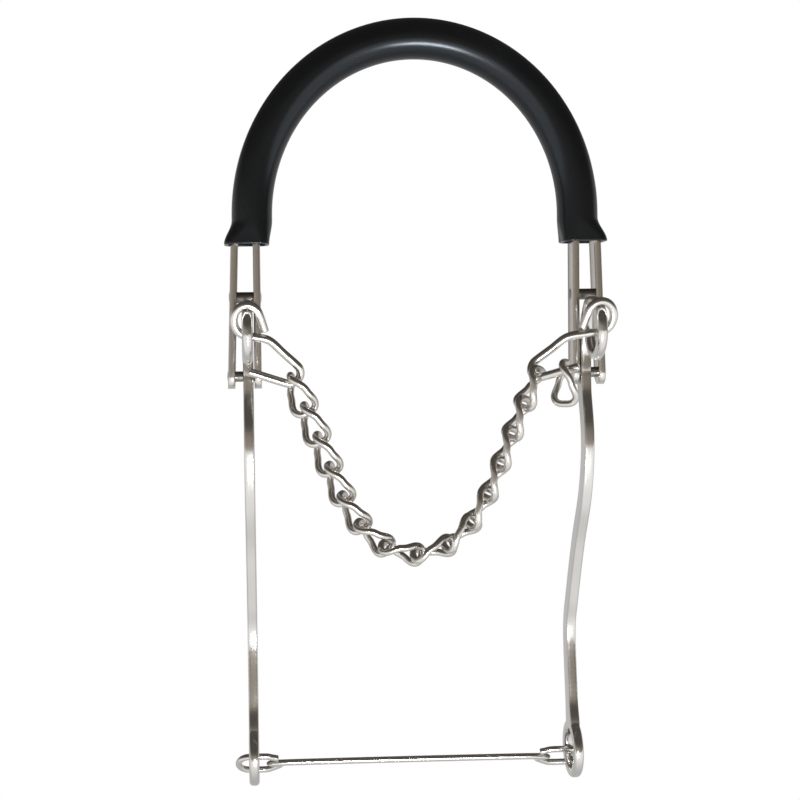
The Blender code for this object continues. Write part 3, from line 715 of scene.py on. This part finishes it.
seat_radius = RING_HOLE / 2 - FIT - SPREADER_WIRE / 2
outwards = in_plane(cos(EYE_TILT), -sin(EYE_TILT))
half_gap = EYE_LEG_SPACING / 2
inner_leg = in_plane(seat_radius * cos(EYE_SEAT_ANGLE), -seat_radius * sin(EYE_SEAT_ANGLE))
middle = REIN_CENTRE + inner_leg + outwards * half_gap
reach = SPREADER_LENGTH / 2 - SPREADER_WIRE / 2
spreader_points = []
for side in (-1, 1):
    along = Vector((side, 0, 0))
    tip = middle + Vector((SPREADER_SHIFT + side * reach, 0, 0))
    turn = tip - along * half_gap
    foot = tip - along * (EYE_LENGTH - SPREADER_WIRE)
    loop = [
        foot - outwards * (SPREADER_WIRE + FIT) + along * EYE_BEND * 0.07,
        foot - outwards * (half_gap * 0.83) + along * EYE_BEND * 0.53,
        foot - outwards * half_gap + along * EYE_BEND,
    ]
    loop += arc(turn, along, outwards, half_gap, -pi / 2, pi / 2, EYE_STEPS)
    loop += [
        foot + outwards * half_gap + along * EYE_BEND,
        foot + outwards * (half_gap * 0.7) + along * EYE_BEND * 0.4,
        foot + outwards * (half_gap * 0.3) - along * EYE_BEND * 0.2,
        foot - along * EYE_BEND * 0.83,
    ]
    if side == 1:
        loop.reverse()
    spreader_points += loop
wire_steel = polished_steel("wire_steel", (0.86, 0.84, 0.81), 0.16, 0.08, 0.1)
wire_piece("spreader_rod", smooth_path(spreader_points, SPREADER_SPACING), SPREADER_WIRE, "spreader",
           wire_steel, ["spreader"], polish=WIRE_POLISH)


# The curb hooks: spring-hard wire bent cold. The open eye is slipped on the crook ring,
# and the long loop opens so that a link can be hooked over its end.
HOOK_WIRE = 3.6 * MM
HOOK_SEAT_ANGLE = radians(42.0)
HOOK_TILT = radians(20.0)
HOOK_EYE_WIDTH = 11.4 * MM
HOOK_EYE_HEIGHT = 13.8 * MM
HOOK_TAIL = 7.6 * MM
HOOK_NECK_DROP = 2.4 * MM
LEFT_NECK = 9.5 * MM
RIGHT_NECK = 14.0 * MM
HOOK_LEG = 16.4 * MM
HOOK_RETURN = 17.0 * MM
HOOK_TURN_RADIUS = 4.9 * MM
HOOK_SWEEP = radians(155.0)
HOOK_TURN_STEPS = 6
HOOK_EYE_DEGREES = (20, 45, 70, 95, 120, 150, 180, 210, 240, 265)
HOOK_SPACING = 0.8 * MM
LEFT_DROOP = radians(44.0)
RIGHT_DROOP = radians(39.0)
RIGHT_TWIST = radians(61.0)


def hook_frame(side, neck_reach, droop, twist):
    """Seat of the eye, and the directions that the hook is bent in."""
    inward = Vector((-side, 0, 0))
    ring_reach = RING_MEAN + RING_STRAND / 2 + FIT + HOOK_WIRE / 2
    seat = Vector((side * SHANK_X, 0, 0)) + CROOK_CENTRE
    seat += in_plane(-sin(HOOK_SEAT_ANGLE), cos(HOOK_SEAT_ANGLE)) * ring_reach
    down = in_plane(sin(HOOK_TILT), -cos(HOOK_TILT))
    leg = (inward * cos(droop) + down * sin(droop)).normalized()
    back = (-inward * sin(droop) + down * cos(droop)).normalized()
    normal = leg.cross(back) * side
    if normal.y > 0:
        normal = -normal
    back = (back * cos(twist) + normal * sin(twist)).normalized()
    neck = seat + inward * neck_reach + down * (HOOK_EYE_HEIGHT + HOOK_NECK_DROP)
    turn = neck + leg * HOOK_LEG + back * HOOK_TURN_RADIUS
    return seat, inward, down, leg, back, neck, turn


def hook_points(side, neck_reach, droop, twist):
    seat, inward, down, leg, back, neck, turn = hook_frame(side, neck_reach, droop, twist)
    half_width = HOOK_EYE_WIDTH / 2
    half_height = HOOK_EYE_HEIGHT / 2
    centre = seat + down * half_height
    points = [seat + inward * HOOK_TAIL + down * (HOOK_EYE_HEIGHT - HOOK_WIRE / 2)]
    for degrees in HOOK_EYE_DEGREES:
        angle = radians(degrees)
        points.append(centre + inward * (half_width * cos(angle)) - down * (half_height * sin(angle)))
    points.append(seat + inward * (neck_reach * 0.45) + down * (HOOK_EYE_HEIGHT + HOOK_NECK_DROP * 0.37))
    points += [neck, neck + leg * HOOK_LEG * 0.5, neck + leg * HOOK_LEG]
    turn_points = arc(turn, -back, leg, HOOK_TURN_RADIUS, 0.0, HOOK_SWEEP, HOOK_TURN_STEPS)
    points += turn_points[1:]
    run = back * sin(HOOK_SWEEP) + leg * cos(HOOK_SWEEP)
    points += [turn_points[-1] + run * HOOK_RETURN * share for share in (0.5, 1.0)]
    return points


hook_steel = polished_steel("hook_steel", (0.84, 0.82, 0.79), 0.10, 0.09, 0.2)
LEFT_HOOK = (-1, LEFT_NECK, LEFT_DROOP, 0.0)
RIGHT_HOOK = (1, RIGHT_NECK, RIGHT_DROOP, RIGHT_TWIST)
for word, set_out in (("left", LEFT_HOOK), ("right", RIGHT_HOOK)):
    wire_piece(f"curb_hook_{word}", smooth_path(hook_points(*set_out), HOOK_SPACING), HOOK_WIRE,
               f"hook_{word}", hook_steel, [f"hook_{word}"])


# The curb chain: links of round wire, welded shut and given a quarter twist each, so
# that the chain lies flat. It hangs between the hooks in the curve of a hung chain.
LINK_COUNT = 14
LINK_WIRE = 3.1 * MM
LINK_LENGTH = 21.1 * MM
LINK_WIDTH = 14.8 * MM
LINK_TWIST = radians(-90.0)
LINK_FULLNESS = 0.65
CHAIN_PLAY = 0.8 * MM
CHAIN_PINCH = 3.2 * MM
PINCH_RISE = 1.3
LEFT_LEAN = 0.35
RIGHT_LEAN = 0.455
CHAIN_STEPS = 240
LINK_STEPS = 64
ROLL_LEAST = radians(-135.0)
ROLL_MOST = radians(45.0)
STEEPNESS_LEAST = 0.1
STEEPNESS_MOST = 6.0
CURVE_HALVINGS = 50


def link_points(centre, along, side_dir, roll):
    """Centre line of a link: an oval whose two ends are turned against each other."""
    third = along.cross(side_dir)
    half_length = (LINK_LENGTH - LINK_WIRE) / 2
    half_width = (LINK_WIDTH - LINK_WIRE) / 2
    points = []
    for i in range(LINK_STEPS):
        angle = 2 * pi * (i + 0.5) / LINK_STEPS
        u = half_length * copysign(abs(cos(angle)) ** LINK_FULLNESS, cos(angle))
        v = half_width * copysign(abs(sin(angle)) ** LINK_FULLNESS, sin(angle))
        turn = roll + LINK_TWIST / 2 * sin(pi / 2 * cos(angle))
        points.append(centre + along * u + side_dir * (v * cos(turn)) + third * (v * sin(turn)))
    return points


def chain_seat(hook_set_out, pull):
    """Where the chain bears on a hook's turn, and the direction of the wire there."""
    leg, back, neck, turn = hook_frame(*hook_set_out)[3:]
    a = pull.dot(leg)
    b = pull.dot(back)
    size = hypot(a, b)
    return turn + (leg * a + back * b) * (HOOK_TURN_RADIUS / size), (back * a - leg * b) / size


def roll_for(wire_direction, along, side_dir, end_turn):
    """Roll of a link that sets its end square to the wire that the end hangs on."""
    square = along.cross(wire_direction)
    roll = atan2(square.dot(along.cross(side_dir)), square.dot(side_dir)) - end_turn
    while roll > ROLL_MOST:
        roll -= pi
    while roll < ROLL_LEAST:
        roll += pi
    return roll


def hanging_curve(left, right, steepness):
    """A hung chain's curve between two seats, drawn in at mid height by its stiff end links."""
    flat = Vector((right.x - left.x, right.y - left.y, 0))
    scale = flat.length / (2 * steepness)
    lean = asinh((right.z - left.z) / (2 * scale * sinh(steepness)))
    points = []
    for i in range(CHAIN_STEPS + 1):
        share = 2 * i / CHAIN_STEPS - 1
        turn = steepness * share + lean
        height = (cosh(turn) - 1) / (cosh(steepness + abs(lean)) - 1)
        pinch = CHAIN_PINCH * sin(pi * height ** PINCH_RISE) * copysign(1, turn)
        x = flat.length * (share + 1) / 2 - pinch
        z = scale * (cosh(turn) - cosh(lean - steepness))
        points.append(left + flat.normalized() * x + Vector((0, 0, z)))
    return points


def length_of(points):
    return sum((b - a).length for a, b in zip(points, points[1:]))


def place_along(points, distance):
    """Point at a distance along a curve, and the curve's direction there."""
    for a, b in zip(points, points[1:]):
        step = (b - a).length
        if distance <= step:
            break
        distance -= step
    return a.lerp(b, distance / step), (b - a).normalized()


left_seat, left_wire = chain_seat(LEFT_HOOK, Vector((LEFT_LEAN, 0, -1)))
right_seat, right_wire = chain_seat(RIGHT_HOOK, Vector((-RIGHT_LEAN, 0, -1)))
pitch = LINK_LENGTH - 2 * LINK_WIRE - CHAIN_PLAY
lead = LINK_LENGTH / 2 - LINK_WIRE - HOOK_WIRE / 2 - FIT
chain_length = (LINK_COUNT - 1) * pitch + 2 * lead
low = STEEPNESS_LEAST
high = STEEPNESS_MOST
for _ in range(CURVE_HALVINGS):
    steepness = (low + high) / 2
    if length_of(hanging_curve(left_seat, right_seat, steepness)) < chain_length:
        low = steepness
    else:
        high = steepness
chain_curve = hanging_curve(left_seat, right_seat, steepness)
sideways = (right_seat - left_seat).cross(Vector((0, 0, 1))).normalized()
places = []
for i in range(LINK_COUNT):
    centre, along = place_along(chain_curve, lead + i * pitch)
    places.append((centre, along, along.cross(sideways).normalized()))
first_roll = roll_for(left_wire, places[0][1], places[0][2], -LINK_TWIST / 2)
last_roll = roll_for(right_wire, places[-1][1], places[-1][2], LINK_TWIST / 2)
chain_steel = polished_steel("chain_steel", (0.82, 0.79, 0.75), 0.13, 0.12, 0.35)
for i, (centre, along, in_chain) in enumerate(places):
    roll = first_roll + (last_roll - first_roll) * i / (LINK_COUNT - 1)
    wire_piece(f"curb_link_{i + 1:02d}", link_points(centre, along, in_chain, roll), LINK_WIRE, "chain",
               chain_steel, [f"chain_link_{i + 1:02d}"], closed=True)

# The spare link: one more link, of the same wire and make as the chain's. It hangs on the
# open end of the right hook, beside the chain's last link, and swings there.
SPARE_LINK_PLACE = 10.5 * MM
leg, back, neck, turn = hook_frame(*RIGHT_HOOK)[3:]
run = back * sin(HOOK_SWEEP) + leg * cos(HOOK_SWEEP)
hang_point = turn + (leg * sin(HOOK_SWEEP) - back * cos(HOOK_SWEEP)) * HOOK_TURN_RADIUS
hang_point += run * SPARE_LINK_PLACE
straight_down = Vector((0, 0, -1))
across = Vector((1, 0, 0))
spare_roll = roll_for(run, straight_down, across, -LINK_TWIST / 2)
loose_points = link_points(hang_point + straight_down * lead, straight_down, across, spare_roll)
wire_piece("loose_link", loose_points, LINK_WIRE, "spare_link", chain_steel, ["spare_link"],
           closed=True, polish=WIRE_POLISH)
